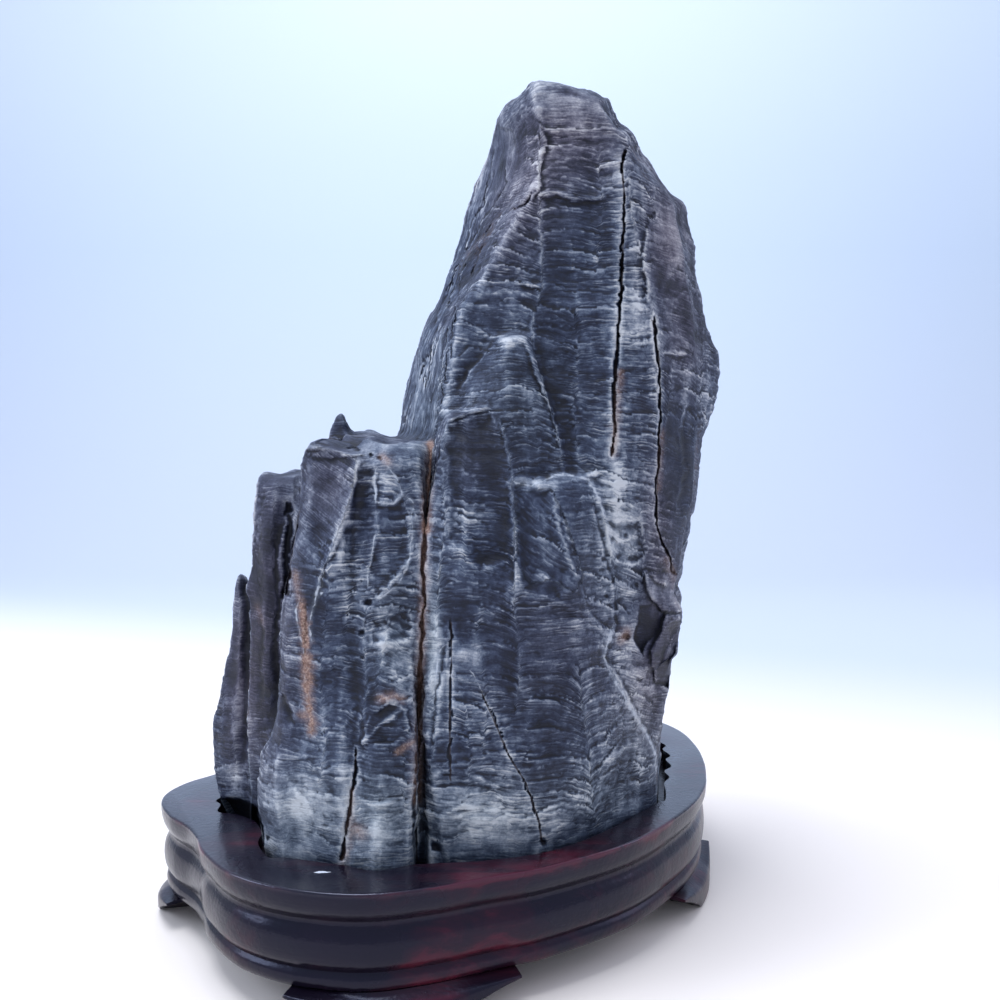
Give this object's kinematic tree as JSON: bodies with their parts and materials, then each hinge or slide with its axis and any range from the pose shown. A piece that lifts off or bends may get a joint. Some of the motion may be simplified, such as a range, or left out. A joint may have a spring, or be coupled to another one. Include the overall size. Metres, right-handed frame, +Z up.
{
  "type": "scholars rock",
  "caption": "Upright natural display stone with a tall main peak, a lower cluster of columns and a spire, seated in a carved lobed hardwood stand on bracket feet.",
  "frame": {"origin": "on the surface the feet stand on, under the middle of the whole object's box", "axes": "+Z up; -Y is the front of the stone, the side it is displayed from; +X to the right seen from the front"},
  "size_m": [0.3076, 0.294, 0.4338],
  "materials": {
    "stone": "matt dark blue-grey limestone with paler foot, white veins and rust in its clefts",
    "rosewood": "near-black red-brown rosewood under glossy lacquer"
  },
  "bodies": {
    "root": {"rock": "stone", "stand_body": "rosewood", "foot_front": "rosewood", "foot_right": "rosewood", "foot_back_right": "rosewood", "foot_back_left": "rosewood", "foot_left": "rosewood"}
  },
  "joints": []
}
